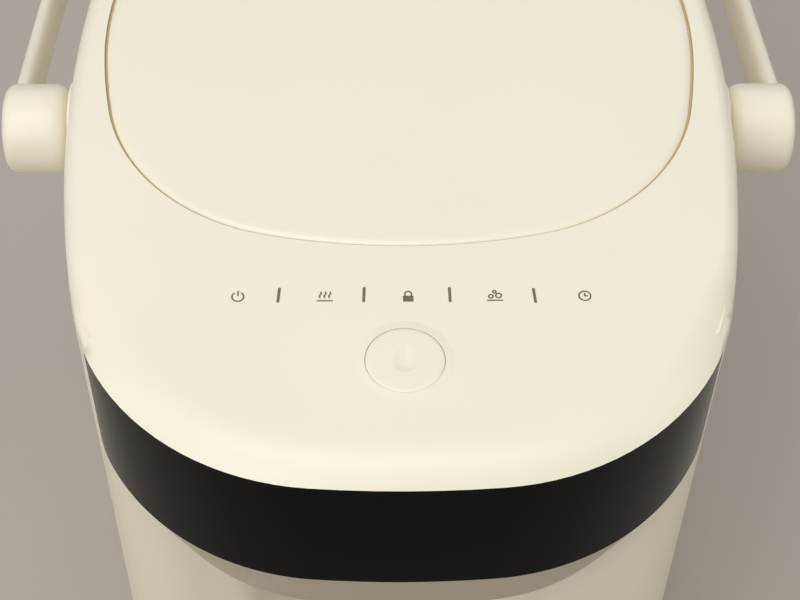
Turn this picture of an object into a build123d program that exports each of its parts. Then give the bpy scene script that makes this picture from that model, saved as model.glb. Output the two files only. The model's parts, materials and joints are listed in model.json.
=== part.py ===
"""Electric thermo pot: a five-litre pump pot with a flush lid, a beak over the cup and a carrying bail.

Millimetres. +Z is up, the front faces -Y, and the origin lies on the table under the middle of the
pot's overall length. Every piece is a solid of its own, written to parts/<node>.step.
"""
import os
from math import asin, cos, degrees, radians, sin

from build123d import *

os.makedirs("parts", exist_ok=True)

# ---------------------------------------------------------------- heights
top_z = 322.0  # deck, and the top of the lid
top_round = 6.0  # rounding of the deck's outer edge
band_height = 51.5
rim_z = top_z - top_round  # where the deck's rounding meets the upright wall
parting_z = rim_z - band_height  # head above, body and beak below
chin_height = 40.0
chin_taper = 20.0  # degrees that the beak leans in below the band
chin_z = parting_z - chin_height  # flat underside of the beak
body_bottom_z = 5.0
shell_wall = 2.8
deck_thickness = 3.0

# ---------------------------------------------------------------- plan of the head
head_front_y = -168.0
# arcs from the front centre to the rear corner: radius, turn in degrees
head_arcs = ((360.0, 4.5), (82.4, 73.4), (462.0, 22.0), (71.5, 70.0))
hub_y, hub_z = -3.0, 296.0  # axis of the carrying bail

# ---------------------------------------------------------------- plan of the body
body_front_y = -133.7  # the head's plan, cut back in front
body_corner_radius = 30.0
scoop_radius = 60.0  # hollow in the front that makes room for the cup
scoop_wall_y = -103.5
scoop_edge_radius = 12.0

# ---------------------------------------------------------------- lid
lid_front_y = -80.1
lid_arcs = ((200.0, 12.6), (70.6, 66.1), (255.0, 5.1), (150.0, 16.2), (1500.0, 1.0), (29.5, 79.0))
lid_rear_y, tab_half_width, tab_round = 122.0, 52.0, 4.0  # hinge tab behind the lid's shoulders
seam_gap = 0.9
trim_depth, trim_height, trim_gap = 1.0, 4.0, 0.15  # coloured trim round the lid, down in the seam
trim_end_y = 66.0
lid_bottom_z = 311.0
lid_skin = 2.5
lid_edge_round, lid_edge_run = 5.4, 3.0  # roll-off of the lid's edge: its radius and its width
lid_plate_thickness = 2.0
bowl_radius, bowl_depth, bowl_wall = 80.0, 18.0, 1.2  # the lid's inner bowl, hanging into the pot's mouth
steam_y, steam_radius = 80.0, 13.0
ledge_z, ledge_thickness = 306.0, 3.0  # floor of the lid's well
ledge_bottom_z = ledge_z - ledge_thickness
hinge_offset = 6.5  # hinge axis below the deck, and ahead of the lid's rear edge
hinge_y, hinge_z = lid_rear_y - hinge_offset, top_z - hinge_offset
hinge_relief = 1.6  # extra air behind the tab, where its rear edge swings down
shoulder_relief = 0.8  # the same behind the shoulders, added to the radius of their rounding
hinge_pin_radius = 1.5
knuckle_radius = 3.6
bracket_ear_x, lid_ear_x, ear_width = 33.0, 40.5, 6.0
running_gap = 0.05  # radial clearance of a pin in its bore
body_gap = 0.3  # air between pieces that move past each other

# ---------------------------------------------------------------- band and button
band_thickness = 1.8
band_end_y = -117.5
band_end_round = 5.0
button_y = -125.6
button_radius = 11.8
button_gap = 0.35
button_travel = 2.2
dish_radius, dish_depth = 15.2, 0.9
button_proud = 0.3  # button's face above the deck
button_edge_run, button_edge_drop = 2.2, 0.8  # roll-off of the button's edge
drop_radius, drop_bottom_y, drop_tip_y, drop_height = 3.6, -130.3, -118.6, 0.3  # raised drop on the button
key_row_y = -100.5
key_places = (-51.6, -25.4, 0.9, 27.1, 53.4)

# ---------------------------------------------------------------- carrying bail
rest_angle = 12.0  # degrees below level, folded back
hub_radius = 15.5
hub_inner_x, hub_outer_x = 114.8, 137.5
hub_inner_round, hub_outer_round = 4.5, 3.5
boss_root_radius, boss_face_radius, boss_face_x = 21.5, 16.2, 114.5  # flared bosses on the head
arm_x, arm_width, arm_height, arm_round = 133.8, 6.6, 18.0, 2.8
bail_bend = 70.0
grip_length, grip_depth, grip_height, grip_round = 126.0, 17.0, 22.0, 7.0
pivot_radius, pivot_end_x = 4.0, 131.0

# ---------------------------------------------------------------- pot and what carries it
pot_y = 22.5
pot_radius = 88.0
pot_wall = 1.0
pot_bottom_z = 70.0
pot_rim_z = 299.0
pot_corner_radius = 6.0
rim_radius = 94.0
mouth_radius = 84.0  # opening in the head above the pot
outlet_x, outlet_y = -12.0, -30.0  # water outlet in the pot's floor, and the pump's axis below it

# ---------------------------------------------------------------- water path
hose_bore_radius, hose_radius = 4.0, 6.0
gauge_y = -94.5
gauge_bottom_z, gauge_top_z = 66.0, 250.0
nozzle_y = -140.5
nozzle_bottom_z = 212.0
window_width, window_bottom_z, window_top_z = 15.0, 78.0, 206.0


def half_outline(front_y, arcs):
    """Right half of a plan outline, from its front centre round to the last arc's end."""
    last = JernArc((0, front_y), (1, 0), *arcs[0])
    for radius, turn in arcs[1:]:
        last = JernArc(last @ 1, last % 1, radius, turn)
    return last


def outline_slab(plan, inset, bottom_z, height, mode=Mode.ADD):
    """Upright slab of a plan outline, drawn in by an inset, in the current part."""
    with BuildSketch(Plane.XY.offset(bottom_z)) as outline:
        add(plan.sketch)
        if inset:
            offset(amount=-inset)
    extrude(outline.sketch, amount=height, mode=mode)


def discs(places, radius, bottom_z, height, mode=Mode.ADD):
    """Upright round discs, posts or bores in the current part."""
    with BuildSketch(Plane.XY.offset(bottom_z)) as outline:
        with Locations(*places):
            Circle(radius)
    extrude(outline.sketch, amount=height, mode=mode)


def pot_ring(outer_radius, inner_radius, bottom_z, height):
    """Upright ring about the pot's axis, in the current part."""
    with BuildSketch(Plane.XY.offset(bottom_z)) as outline:
        with Locations((0, pot_y)):
            Circle(outer_radius)
            Circle(inner_radius, mode=Mode.SUBTRACT)
    extrude(outline.sketch, amount=height)


def block(x_range, y_range, z_range, mode=Mode.ADD):
    """Plain block between two limits on each axis, in the current part."""
    low, high = (Vector(*corner) for corner in zip(x_range, y_range, z_range))
    with Locations((low + high) / 2):
        Box(*(high - low), mode=mode)


def hose_along(points, bend=None):
    """Hose in the current part: straight runs, joined by bends of one radius."""
    with BuildLine() as route:
        FilletPolyline(*points, radius=bend) if bend else Polyline(*points)
    with BuildSketch(Plane(origin=route.line @ 0, z_dir=route.line % 0)) as section:
        Circle(hose_radius)
        Circle(hose_bore_radius, mode=Mode.SUBTRACT)
    sweep(section.sketch, path=route.line)


with BuildSketch() as head_plan:
    with BuildLine():
        rear_corner = half_outline(head_front_y, head_arcs)
        closing_turn = 180 - sum(turn for _, turn in head_arcs)
        closing_radius = (rear_corner @ 1).X / sin(radians(closing_turn))
        JernArc(rear_corner @ 1, rear_corner % 1, closing_radius, closing_turn)
        mirror(about=Plane.YZ)
    make_face()
head_rear_y = head_plan.sketch.bounding_box().max.Y

with BuildSketch() as lid_plan:
    with BuildLine():
        rear_corner = half_outline(lid_front_y, lid_arcs)
        Line(rear_corner @ 1, (0, (rear_corner @ 1).Y))
        mirror(about=Plane.YZ)
    make_face()
    with Locations((0, lid_rear_y)):
        Rectangle(2 * tab_half_width, 60, align=(Align.CENTER, Align.MAX))
    fillet(lid_plan.vertices().group_by(Axis.Y)[-1], tab_round)
    shoulder_points = lid_plan.vertices().filter_by(lambda point: abs(abs(point.X) - tab_half_width) < 0.01)
    fillet(shoulder_points.group_by(Axis.Y)[0], tab_round)

# Hole that the lid lies in: its outline with the seam round it, wider where the lid swings back.
with BuildSketch() as well_plan:
    with BuildLine():
        wider_arcs = [(radius + seam_gap / 2, turn) for radius, turn in lid_arcs]
        wider_arcs[-1] = (wider_arcs[-1][0] + shoulder_relief, lid_arcs[-1][1])
        rear_corner = half_outline(lid_front_y - seam_gap / 2, wider_arcs)
        Line(rear_corner @ 1, (0, (rear_corner @ 1).Y))
        mirror(about=Plane.YZ)
    make_face()
    with Locations((0, lid_rear_y + seam_gap / 2 + hinge_relief)):
        RectangleRounded(2 * tab_half_width + seam_gap, 60, 3, align=(Align.CENTER, Align.MAX))
    inner_points = well_plan.vertices().filter_by(lambda point: abs(abs(point.X) - tab_half_width) < 0.6)
    fillet(inner_points.group_by(Axis.Y)[0], tab_round - seam_gap / 2)

with BuildSketch() as body_plan:
    add(head_plan.sketch)
    with Locations((0, body_front_y)):
        Rectangle(400, 200, align=(Align.CENTER, Align.MAX), mode=Mode.SUBTRACT)
    with Locations((0, scoop_wall_y - scoop_radius)):
        Circle(scoop_radius, mode=Mode.SUBTRACT)
    front_points = body_plan.vertices().group_by(Axis.Y)[0]
    fillet(front_points.filter_by(lambda point: abs(point.X) > scoop_radius), body_corner_radius)
    scoop_points = body_plan.vertices().filter_by(lambda point: abs(point.X) < scoop_radius)
    fillet(scoop_points.group_by(Axis.Y)[0], scoop_edge_radius)

# ================================================================ body and base
boss_places = [(side * x, y) for x, y in ((104.0, 40.0), (69.0, -126.0)) for side in (-1, 1)]
boss_radius, screw_radius = 5.0, 1.6
boss_bottom_z, boss_height = body_bottom_z + 3, 22.0
inlet_z, inlet_width, inlet_height = 38.0, 28.0, 20.0
cut_depth = 12.0  # enough to pass any wall of the body

with BuildPart() as body_shell:
    outline_slab(body_plan, 0, body_bottom_z, parting_z - body_bottom_z)
    outline_slab(body_plan, shell_wall, body_bottom_z, parting_z - body_bottom_z, Mode.SUBTRACT)
    with BuildSketch(Plane.XY.offset(boss_bottom_z)):
        with Locations(*boss_places):
            Circle(boss_radius)
            Circle(screw_radius, mode=Mode.SUBTRACT)
    extrude(amount=boss_height)
    # slot for the level window, in the wall of the cup hollow
    with BuildSketch(Plane.XZ.offset(-(scoop_wall_y - 4))) as window_slot:
        with Locations((0, (window_bottom_z + window_top_z) / 2)):
            SlotOverall(window_top_z - window_bottom_z, window_width, rotation=90)
    extrude(amount=-cut_depth, mode=Mode.SUBTRACT)
    # opening for the power inlet, low in the rear wall
    with BuildSketch(Plane.XZ.offset(-(head_rear_y - 8))):
        with Locations((0, inlet_z)):
            RectangleRounded(inlet_width, inlet_height, 3)
    extrude(amount=-cut_depth, mode=Mode.SUBTRACT)
body_shell.part.label = "body_shell"
export_step(body_shell.part, "parts/body_shell.step")

# The window is the slice of the same curved wall that its slot takes out.
with BuildPart() as level_window:
    with BuildSketch(Plane.XY.offset(window_bottom_z)):
        add(body_plan.sketch)
        offset(body_plan.sketch, amount=-shell_wall, mode=Mode.SUBTRACT)
    extrude(amount=window_top_z - window_bottom_z)
    with BuildSketch(Plane.XZ.offset(-(scoop_wall_y - 4))):
        add(window_slot.sketch_local)
    extrude(amount=-cut_depth, mode=Mode.INTERSECT)
level_window.part.label = "level_window"
export_step(level_window.part, "parts/level_window.step")

floor_bottom_z, floor_thickness = 3.0, 2.0
rim_gap, rim_wall, rim_height = 0.2, 2.5, 12.0
board_bottom_z = 18.0
board_width, board_depth, board_y = 110.0, 62.0, 68.0
motor_radius, motor_bottom_z, motor_top_z = 16.0, 16.0, 42.0

with BuildPart() as base_plate:
    outline_slab(body_plan, 1.0, floor_bottom_z, floor_thickness)
    # rim that centres the body shell, broken where the shell's screw bosses come down
    with BuildSketch(Plane.XY.offset(body_bottom_z)):
        offset(body_plan.sketch, amount=-(shell_wall + rim_gap))
        offset(body_plan.sketch, amount=-(shell_wall + rim_gap + rim_wall), mode=Mode.SUBTRACT)
        with Locations(*boss_places):
            Circle(boss_radius + 0.8, mode=Mode.SUBTRACT)
    extrude(amount=rim_height)
    # pads under the bosses, posts for the power board and the seat of the pump
    discs(boss_places, 3.4, body_bottom_z, boss_bottom_z - body_bottom_z)
    with BuildSketch(Plane.XY.offset(body_bottom_z)):
        with Locations((0, board_y)):
            with GridLocations(board_width - 10, board_depth - 10, 2, 2):
                Circle(3)
    extrude(amount=board_bottom_z - body_bottom_z)
    discs([(outlet_x, outlet_y)], motor_radius + 2, body_bottom_z, motor_bottom_z - body_bottom_z)
    # countersunk screw holes
    with Locations(*[(x, y, floor_bottom_z) for x, y in boss_places]):
        Cylinder(3.1, 1.8, align=(Align.CENTER, Align.CENTER, Align.MIN), mode=Mode.SUBTRACT)
        Cylinder(screw_radius + 0.3, 8, align=(Align.CENTER, Align.CENTER, Align.MIN), mode=Mode.SUBTRACT)
    # slots that let cooling air in under the power board
    with BuildSketch(Plane.XY.offset(floor_bottom_z)):
        with Locations((0, board_y)):
            with GridLocations(12, 0, 7, 1):
                SlotOverall(30, 3.5, rotation=90)
    extrude(amount=floor_thickness, mode=Mode.SUBTRACT)
base_plate.part.label = "base_plate"
export_step(base_plate.part, "parts/base_plate.step")

with BuildPart() as rubber_feet:
    with BuildSketch():
        with Locations((-62, -112), (62, -112), (-78, 86), (78, 86)):
            Circle(8)
    extrude(amount=floor_bottom_z)
    chamfer(rubber_feet.edges().group_by(Axis.Z)[0], 0.8)
rubber_feet.part.label = "rubber_feet"
export_step(rubber_feet.part, "parts/rubber_feet.step")

with BuildPart() as base_screws:
    with Locations(*[(x, y, floor_bottom_z + 0.3) for x, y in boss_places]):
        Cylinder(2.9, 1.5, align=(Align.CENTER, Align.CENTER, Align.MIN))
        Cylinder(screw_radius, 17, align=(Align.CENTER, Align.CENTER, Align.MIN))
base_screws.part.label = "base_screws"
export_step(base_screws.part, "parts/base_screws.step")

# ================================================================ head
with BuildPart() as display_band:
    with BuildSketch(Plane.XY.offset(parting_z)):
        add(head_plan.sketch)
        offset(head_plan.sketch, amount=-band_thickness, mode=Mode.SUBTRACT)
    extrude(amount=band_height)
    # side view of the band: its ends have rounded lower corners
    with BuildSketch(Plane.YZ.offset(-150)) as band_side:
        with Locations((head_front_y - 10, parting_z)):
            Rectangle(band_end_y - head_front_y + 10, band_height, align=(Align.MIN, Align.MIN))
        fillet(band_side.vertices().group_by(Axis.Y)[0].sort_by(Axis.X)[-1], band_end_round)
    extrude(amount=300, mode=Mode.INTERSECT)
display_band.part.label = "display_band"
export_step(display_band.part, "parts/display_band.step")

deck_bottom_z = top_z - deck_thickness
dish_floor_z = top_z - dish_depth
boss_radius_at_rim = 4.0
boss_root_x, boss_inner_x = 108.5, 101.0
board_thickness = 1.6
touch_board_z, touch_board_width, touch_board_depth = 312.5, 134.0, 18.0
display_board_y = -155.4
post_x, post_heights = 33.0, (277.0, 303.0)
beak_half_width = 95.3
nozzle_radius, barb_bore_radius = 7.0, 2.8
carrier_places = [(72.1 * side, pot_y + 72.1 * end) for side in (-1, 1) for end in (-1, 1)]
carrier_screw_radius = 1.25

with BuildPart() as head_shell:
    outline_slab(head_plan, 0, parting_z, top_z - parting_z)
    fillet(head_shell.faces().sort_by(Axis.Z)[-1].outer_wire().edges(), top_round)
    # hollow, with a thicker wall in front where the band is let in
    hollow_height = deck_bottom_z - parting_z
    outline_slab(head_plan, shell_wall + band_thickness, parting_z, hollow_height, Mode.SUBTRACT)
    with BuildSketch(Plane.XY.offset(parting_z)):
        offset(head_plan.sketch, amount=-shell_wall)
        with Locations((0, band_end_y + 4)):
            Rectangle(400, 200, align=(Align.CENTER, Align.MAX), mode=Mode.SUBTRACT)
    extrude(amount=hollow_height, mode=Mode.SUBTRACT)
    add(display_band.part, mode=Mode.SUBTRACT)
    # well for the lid, with a floor round the pot's mouth
    outline_slab(well_plan, -shell_wall, ledge_bottom_z, deck_bottom_z - ledge_bottom_z)
    outline_slab(well_plan, 0, ledge_z, top_z - ledge_z, Mode.SUBTRACT)
    discs([(0, pot_y)], mouth_radius, ledge_bottom_z, ledge_thickness, Mode.SUBTRACT)
    # bosses that the pot's carrier is screwed to
    discs(carrier_places, boss_radius_at_rim, pot_rim_z - pot_wall, ledge_bottom_z - pot_rim_z + pot_wall)
    discs(carrier_places, carrier_screw_radius, pot_rim_z - pot_wall, 4.5, Mode.SUBTRACT)
    # shallow dish and bore for the dispensing button
    dish_floor_radius = button_radius + button_gap
    with BuildSketch(Plane.XZ.offset(-button_y)):
        with BuildLine():
            RadiusArc((dish_radius, top_z), (dish_floor_radius, dish_floor_z), 9)
            Polyline((dish_floor_radius, dish_floor_z), (0, dish_floor_z), (0, top_z), (dish_radius, top_z))
        make_face()
    revolve(axis=Axis((0, button_y, 0), (0, 0, 1)), mode=Mode.SUBTRACT)
    discs([(0, button_y)], dish_floor_radius, top_z - 2 * deck_thickness, 2 * deck_thickness, Mode.SUBTRACT)
    # flared bosses behind the handle's hubs, with the bores that hold its pivots
    with BuildSketch(Plane(origin=(0, hub_y, hub_z))):
        with BuildLine():
            RadiusArc((boss_root_x, boss_root_radius), (boss_face_x, boss_face_radius), -9)
            Polyline((boss_face_x, boss_face_radius), (boss_face_x, 0), (boss_inner_x, 0), (boss_inner_x, 9),
                     (boss_root_x, 9), (boss_root_x, boss_root_radius))
        make_face()
    right_boss = revolve(axis=Axis((0, hub_y, hub_z), (1, 0, 0)))
    mirror(right_boss, about=Plane.YZ)
    with Locations((0, hub_y, hub_z)):
        Cylinder(pivot_radius, 300, rotation=(0, 90, 0), mode=Mode.SUBTRACT)
    # posts for the touch board under the deck and the display board behind the front wall
    discs([(x, key_row_y) for x in (-62, 62)], 3, touch_board_z + board_thickness,
          deck_bottom_z - touch_board_z - board_thickness)
    with BuildSketch(Plane.XZ.offset(-display_board_y)):
        with Locations(*[(x, z) for x in (-post_x, post_x) for z in post_heights]):
            Circle(3)
    extrude(until=Until.NEXT)
head_shell.part.label = "head_shell"
export_step(head_shell.part, "parts/head_shell.step")

with BuildPart() as beak_cover:
    with BuildSketch(Plane.XY.offset(parting_z)):
        add(head_plan.sketch)
    extrude(amount=-chin_height, taper=chin_taper)
    fillet(beak_cover.faces().sort_by(Axis.Z)[0].outer_wire().edges(), 4.0)
    with BuildSketch(Plane.XY.offset(parting_z)):
        offset(head_plan.sketch, amount=-shell_wall / cos(radians(chin_taper)))
    extrude(amount=-(chin_height - shell_wall), taper=chin_taper, mode=Mode.SUBTRACT)
    outline_slab(body_plan, 0, chin_z, chin_height, Mode.SUBTRACT)
    # its tips end square, where the beak has almost run out into the body
    for side in (-1, 1):
        block(sorted((side * beak_half_width, side * 130)), (-200, 200), (chin_z, parting_z), Mode.SUBTRACT)
    discs([(0, nozzle_y)], nozzle_radius + body_gap, chin_z, shell_wall, Mode.SUBTRACT)
beak_cover.part.label = "beak_cover"
export_step(beak_cover.part, "parts/beak_cover.step")

with BuildPart() as spout_nozzle:
    discs([(0, nozzle_y)], nozzle_radius, nozzle_bottom_z, chin_z + shell_wall - nozzle_bottom_z)
    discs([(0, nozzle_y)], nozzle_radius + 4, chin_z + shell_wall, 3)
    discs([(0, nozzle_y)], hose_bore_radius, chin_z + shell_wall + 3, 22)
    chamfer(spout_nozzle.edges().group_by(Axis.Z)[0], 1.5)
    discs([(0, nozzle_y)], barb_bore_radius, nozzle_bottom_z, 60, Mode.SUBTRACT)
spout_nozzle.part.label = "spout_nozzle"
export_step(spout_nozzle.part, "parts/spout_nozzle.step")

with BuildPart() as display_board:
    block((-post_x - 5, post_x + 5), (display_board_y, display_board_y + board_thickness), (273, 307))
    block((-22, 22), (display_board_y - 6.5, display_board_y), (281, 299))  # digit block behind the band
    with BuildSketch(Plane.XZ.offset(-display_board_y)):
        with GridLocations(68, 0, 2, 1):
            with Locations((0, 290)):
                Circle(2.5)
    extrude(amount=4)
display_board.part.label = "display_board"
export_step(display_board.part, "parts/display_board.step")

with BuildPart() as touch_board:
    with Locations((0, key_row_y, touch_board_z)):
        Box(touch_board_width, touch_board_depth, board_thickness,
            align=(Align.CENTER, Align.CENTER, Align.MIN))
    # one springy pad under each key
    discs([(x, key_row_y) for x in key_places], 4, touch_board_z + board_thickness,
          deck_bottom_z - touch_board_z - board_thickness)
touch_board.part.label = "touch_board"
export_step(touch_board.part, "parts/touch_board.step")

# ================================================================ pot, heater and pump
with BuildPart() as inner_pot:
    discs([(0, pot_y)], pot_radius, pot_bottom_z, pot_rim_z - pot_bottom_z)
    fillet(inner_pot.edges().group_by(Axis.Z)[0], pot_corner_radius)
    offset(amount=-pot_wall, openings=inner_pot.faces().sort_by(Axis.Z)[-1])
    pot_ring(rim_radius, pot_radius - pot_wall, pot_rim_z - pot_wall, pot_wall)
    discs([(outlet_x, outlet_y)], hose_bore_radius, pot_bottom_z - 8, 8 + pot_wall)
    discs([(outlet_x, outlet_y)], barb_bore_radius, pot_bottom_z - 8, 8 + pot_wall, Mode.SUBTRACT)
inner_pot.part.label = "inner_pot"
export_step(inner_pot.part, "parts/inner_pot.step")

with BuildPart() as pot_seal:
    pot_ring(rim_radius - 1, mouth_radius + 1, pot_rim_z, ledge_bottom_z - pot_rim_z)
pot_seal.part.label = "pot_seal"
export_step(pot_seal.part, "parts/pot_seal.step")

carrier_top_z = pot_rim_z - pot_wall
with BuildPart() as pot_carrier:
    pot_ring(98, pot_radius + body_gap, carrier_top_z - 3, 3)
    discs(carrier_places, 5, carrier_top_z - 3, 3)
    with BuildSketch(Plane.XY.offset(carrier_top_z - 3)):
        with Locations((0, pot_y)):
            with PolarLocations(94, 4, start_angle=45):
                Rectangle(16, 10)
            Circle(pot_radius + body_gap, mode=Mode.SUBTRACT)
    extrude(amount=3)
    discs(carrier_places, carrier_screw_radius, carrier_top_z - 3, 3, Mode.SUBTRACT)
pot_carrier.part.label = "pot_carrier"
export_step(pot_carrier.part, "parts/pot_carrier.step")

with BuildPart() as carrier_screws:
    discs(carrier_places, 2.7, carrier_top_z - 5, 2)
    discs(carrier_places, carrier_screw_radius, carrier_top_z - 3, 7)
carrier_screws.part.label = "carrier_screws"
export_step(carrier_screws.part, "parts/carrier_screws.step")

with BuildPart() as insulation_jacket:
    pot_ring(pot_radius + 3.5, pot_radius, pot_bottom_z + pot_corner_radius + 3, 190)
insulation_jacket.part.label = "insulation_jacket"
export_step(insulation_jacket.part, "parts/insulation_jacket.step")

# Domed strainer over the outlet, standing on the pot's floor.
with BuildPart() as outlet_strainer:
    discs([(outlet_x, outlet_y)], 9, pot_bottom_z + pot_wall, 4)
    chamfer(outlet_strainer.edges().group_by(Axis.Z)[-1], 1.5)
    offset(amount=-0.8, openings=outlet_strainer.faces().sort_by(Axis.Z)[0])
    with BuildSketch(Plane.XY.offset(pot_bottom_z + pot_wall)):
        with Locations((outlet_x, outlet_y)):
            Circle(0.9)
            with PolarLocations(4.5, 6):
                Circle(0.9)
    extrude(amount=6, mode=Mode.SUBTRACT)
outlet_strainer.part.label = "outlet_strainer"
export_step(outlet_strainer.part, "parts/outlet_strainer.step")

plate_thickness = 7.0
plate_bottom_z = pot_bottom_z - plate_thickness
element_ring_radius, element_radius = 33.0, 3.2
element_start, element_turn = 110.0, 320.0  # degrees; the ring is open towards the rear
leg_radius, leg_length = 2.6, 12.0
with BuildPart() as heating_element:
    start = radians(element_start)
    with BuildSketch(Plane(origin=(0, pot_y, plate_bottom_z), x_dir=(cos(start), sin(start), 0),
                           z_dir=(sin(start), -cos(start), 0))):
        with Locations((element_ring_radius, 0)):
            RegularPolygon(element_radius, 6)
    revolve(axis=Axis((0, pot_y, 0), (0, 0, 1)), revolution_arc=element_turn)
    # cold legs at both ends, down to their terminals
    for turn in (element_start, element_start + element_turn):
        leg = (element_ring_radius * cos(radians(turn)), pot_y + element_ring_radius * sin(radians(turn)))
        discs([leg], leg_radius, plate_bottom_z - leg_length, leg_length)
        discs([leg], 1.2, plate_bottom_z - leg_length - 6, 6)
heating_element.part.label = "heating_element"
export_step(heating_element.part, "parts/heating_element.step")

with BuildPart() as heating_plate:
    discs([(0, pot_y)], 45, plate_bottom_z, plate_thickness)
    add(heating_element.part, mode=Mode.SUBTRACT)
heating_plate.part.label = "heating_plate"
export_step(heating_plate.part, "parts/heating_plate.step")

with BuildPart() as thermostat:
    discs([(0, pot_y)], 12, plate_bottom_z - 1, 1)
    discs([(0, pot_y)], 8, plate_bottom_z - 9, 8)
    with Locations(*[(x, pot_y, plate_bottom_z - 12) for x in (-4, 4)]):
        Box(0.8, 5, 7)
thermostat.part.label = "thermostat"
export_step(thermostat.part, "parts/thermostat.step")

# Pump: a motor under a round volute, whose outlet leaves along one side towards the gauge tube.
volute_radius, volute_top_z = 20.0, 54.0
outlet_z = 48.5
chamber_radius, chamber_floor_z = 16.5, 44.0
shaft_radius = 1.2
with BuildPart() as pump_motor:
    discs([(outlet_x, outlet_y)], motor_radius, motor_bottom_z, motor_top_z - motor_bottom_z)
    fillet(pump_motor.edges().group_by(Axis.Z)[0], 2)
    with BuildSketch(Plane.XY.offset(motor_bottom_z + 5)):
        with Locations((outlet_x, outlet_y)):
            with PolarLocations(motor_radius, 8):
                Rectangle(1.2, 4)
    extrude(amount=16, mode=Mode.SUBTRACT)
pump_motor.part.label = "pump_motor"
export_step(pump_motor.part, "parts/pump_motor.step")

with BuildPart() as pump_housing:
    discs([(outlet_x, outlet_y)], volute_radius, motor_top_z, volute_top_z - motor_top_z)
    with BuildSketch(Plane.XZ.offset(-outlet_y)):
        with Locations((0, outlet_z)):
            Circle(hose_bore_radius)
    extrude(amount=volute_radius + 9)
    chamber_height = volute_top_z - chamber_floor_z
    discs([(outlet_x, outlet_y)], chamber_radius, chamber_floor_z, chamber_height, Mode.SUBTRACT)
    with BuildSketch(Plane.XZ.offset(-outlet_y)):
        with Locations((0, outlet_z)):
            Circle(barb_bore_radius)
    extrude(amount=volute_radius + 10, mode=Mode.SUBTRACT)
    discs([(outlet_x, outlet_y)], shaft_radius, chamber_floor_z, 8)
pump_housing.part.label = "pump_housing"
export_step(pump_housing.part, "parts/pump_housing.step")

with BuildPart() as pump_cover:
    discs([(outlet_x, outlet_y)], volute_radius, volute_top_z, 2)
    discs([(outlet_x, outlet_y)], hose_bore_radius, volute_top_z + 2, 5)
    discs([(outlet_x, outlet_y)], barb_bore_radius, volute_top_z, 8, Mode.SUBTRACT)
pump_cover.part.label = "pump_cover"
export_step(pump_cover.part, "parts/pump_cover.step")

with BuildPart() as pump_impeller:
    discs([(outlet_x, outlet_y)], 14.5, chamber_floor_z + 0.6, 1.6)
    discs([(outlet_x, outlet_y)], 3.5, chamber_floor_z + 2.2, 5.4)
    # vanes that lean back from the hub, each a bent strip
    with BuildSketch(Plane.XY.offset(chamber_floor_z + 2.2)):
        with Locations((outlet_x, outlet_y)):
            with PolarLocations(8.5, 6):
                SlotArc(ThreePointArc((-5.5, 0), (0, 1.6), (5.5, 0)), 1.2)
    extrude(amount=4.5)
    discs([(outlet_x, outlet_y)], shaft_radius + running_gap, chamber_floor_z, 12, Mode.SUBTRACT)
pump_impeller.part.label = "pump_impeller"
export_step(pump_impeller.part, "parts/pump_impeller.step")

# Water path: pot, pump, up the gauge tube behind the window, over into the spout.
with BuildPart() as inlet_hose:
    hose_along([(outlet_x, outlet_y, volute_top_z + 2.5), (outlet_x, outlet_y, pot_bottom_z - 0.5)])
inlet_hose.part.label = "inlet_hose"
export_step(inlet_hose.part, "parts/inlet_hose.step")

with BuildPart() as lower_hose:
    hose_along([(0, outlet_y - volute_radius - 2, outlet_z), (0, gauge_y, outlet_z),
                (0, gauge_y, gauge_bottom_z + 6)], bend=14)
lower_hose.part.label = "lower_hose"
export_step(lower_hose.part, "parts/lower_hose.step")

with BuildPart() as gauge_tube:
    discs([(0, gauge_y)], hose_bore_radius, gauge_bottom_z, gauge_top_z - gauge_bottom_z)
    discs([(0, gauge_y)], barb_bore_radius, gauge_bottom_z, gauge_top_z - gauge_bottom_z, Mode.SUBTRACT)
gauge_tube.part.label = "gauge_tube"
export_step(gauge_tube.part, "parts/gauge_tube.step")

arch_z = 279.5
with BuildPart() as upper_hose:
    hose_along([(0, gauge_y, gauge_top_z - 6), (0, gauge_y, arch_z), (0, nozzle_y, arch_z),
                (0, nozzle_y, chin_z + shell_wall + 10)], bend=14)
upper_hose.part.label = "upper_hose"
export_step(upper_hose.part, "parts/upper_hose.step")

# ================================================================ electrics in the base
board_top_z = board_bottom_z + board_thickness
with BuildPart() as power_board:
    block((-board_width / 2, board_width / 2), (board_y - board_depth / 2, board_y + board_depth / 2),
          (board_bottom_z, board_top_z))
    block((-46, -18), (56, 84), (board_top_z, board_top_z + 20))  # transformer
    block((-12, 8), (82, 97), (board_top_z, board_top_z + 15))  # relay
    block((16, 34), (52, 56), (board_top_z, board_top_z + 21))  # heat sink
    block((40, 50), (58, 90), (board_top_z, board_top_z + 10))  # terminal block
    discs([(22, 76), (6, 66)], 7, board_top_z, 18)  # capacitors
power_board.part.label = "power_board"
export_step(power_board.part, "parts/power_board.step")

inlet_face_y = head_rear_y + 0.4
with BuildPart() as power_inlet:
    # shroud through the wall, its flange and its socket
    for width, height, back, front in ((inlet_width - 0.6, inlet_height - 0.6, 22.0, 0.0),
                                       (inlet_width + 10, inlet_height + 8, 6.4, 3.9)):
        with BuildSketch(Plane.XZ.offset(-inlet_face_y + front)):
            with Locations((0, inlet_z)):
                RectangleRounded(width, height, 2.7)
        extrude(amount=back - front)
    with BuildSketch(Plane.XZ.offset(-inlet_face_y)):
        with Locations((0, inlet_z)):
            RectangleRounded(inlet_width - 4.6, inlet_height - 4.6, 2)
    extrude(amount=17, mode=Mode.SUBTRACT)
    with BuildSketch(Plane.XZ.offset(-inlet_face_y)):
        with Locations((-7, inlet_z - 2), (0, inlet_z + 2), (7, inlet_z - 2)):
            Rectangle(2, 4)
    extrude(amount=30, mode=Mode.SUBTRACT)
power_inlet.part.label = "power_inlet"
export_step(power_inlet.part, "parts/power_inlet.step")

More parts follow.
